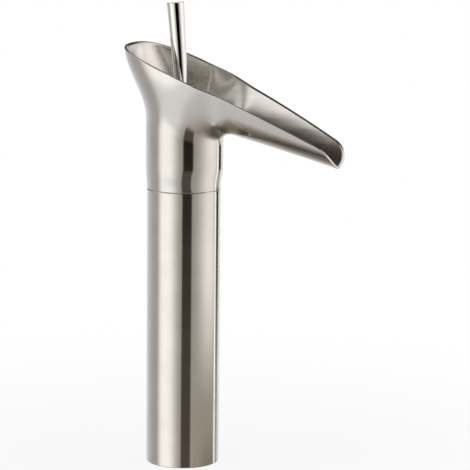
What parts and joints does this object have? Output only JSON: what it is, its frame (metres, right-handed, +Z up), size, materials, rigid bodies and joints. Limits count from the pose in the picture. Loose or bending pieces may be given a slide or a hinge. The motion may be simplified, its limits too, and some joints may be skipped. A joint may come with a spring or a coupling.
{
  "type": "waterfall basin faucet",
  "caption": "Tall round-column basin faucet with a flared bowl, an open tapering waterfall trough and one upright tapered lever that tilts and turns.",
  "frame": {"origin": "on the column's axis, at the height of the deck that the foot stands on, midway between the two stud holes", "axes": "+Z up along the column, +X the way the trough points and the water runs, +Y to the left seen from behind the faucet"},
  "size_m": [0.1559, 0.0668, 0.3161],
  "materials": {
    "brushed_nickel": "brushed nickel plate, satin, warm grey",
    "satin_nickel": "satin nickel plate",
    "polished_nickel": "polished nickel plate",
    "brass": "machined, unplated",
    "rubber": "matt black nitrile rubber",
    "acetal": "moulded white acetal",
    "ceramic": "ground and lapped alumina",
    "stainless": "machined stainless steel"
  },
  "bodies": {
    "root": {"column_tube": "brushed_nickel", "spout_body": "brushed_nickel", "base_plug": "brass", "column_coupling": "brass", "valve_core": "brass", "core_nut": "brass", "cartridge_nut": "brass", "deck_gasket": "rubber", "joint_seal": "rubber", "neck_seal": "rubber", "flange_seal": "rubber", "port_seals": "rubber", "turret_seal": "rubber", "cartridge_base": "acetal", "cartridge_housing": "acetal", "fixed_disc": "ceramic", "dome": "satin_nickel"},
    "turret": {"turret": "acetal", "pivot_pin": "stainless"},
    "lever": {"lever_spindle": "stainless", "lever_cover": "satin_nickel", "handle_rod": "polished_nickel", "handle_screw": "stainless"},
    "disc_slide": {"disc_carrier": "acetal", "moving_disc": "ceramic"}
  },
  "joints": [
    {"name": "lever_turn", "type": "hinge", "parent": "root", "child": "turret", "pos_m": [0, 0, 0.233], "axis": [0, 0, 1], "range_deg": [-45, 45]},
    {"name": "lever_tilt", "type": "hinge", "parent": "turret", "child": "lever", "pos_m": [0, 0, 0.233], "axis": [0, 1, 0], "range_deg": [0, 22]},
    {"name": "disc_travel", "type": "slide", "parent": "turret", "child": "disc_slide", "axis": [1, 0, 0], "range_m": [-0.0041, 0.0001]}
  ],
  "couplings": [
    {"joint": "disc_travel", "follows": "lever_tilt", "m_per_rad": -0.010377}
  ]
}
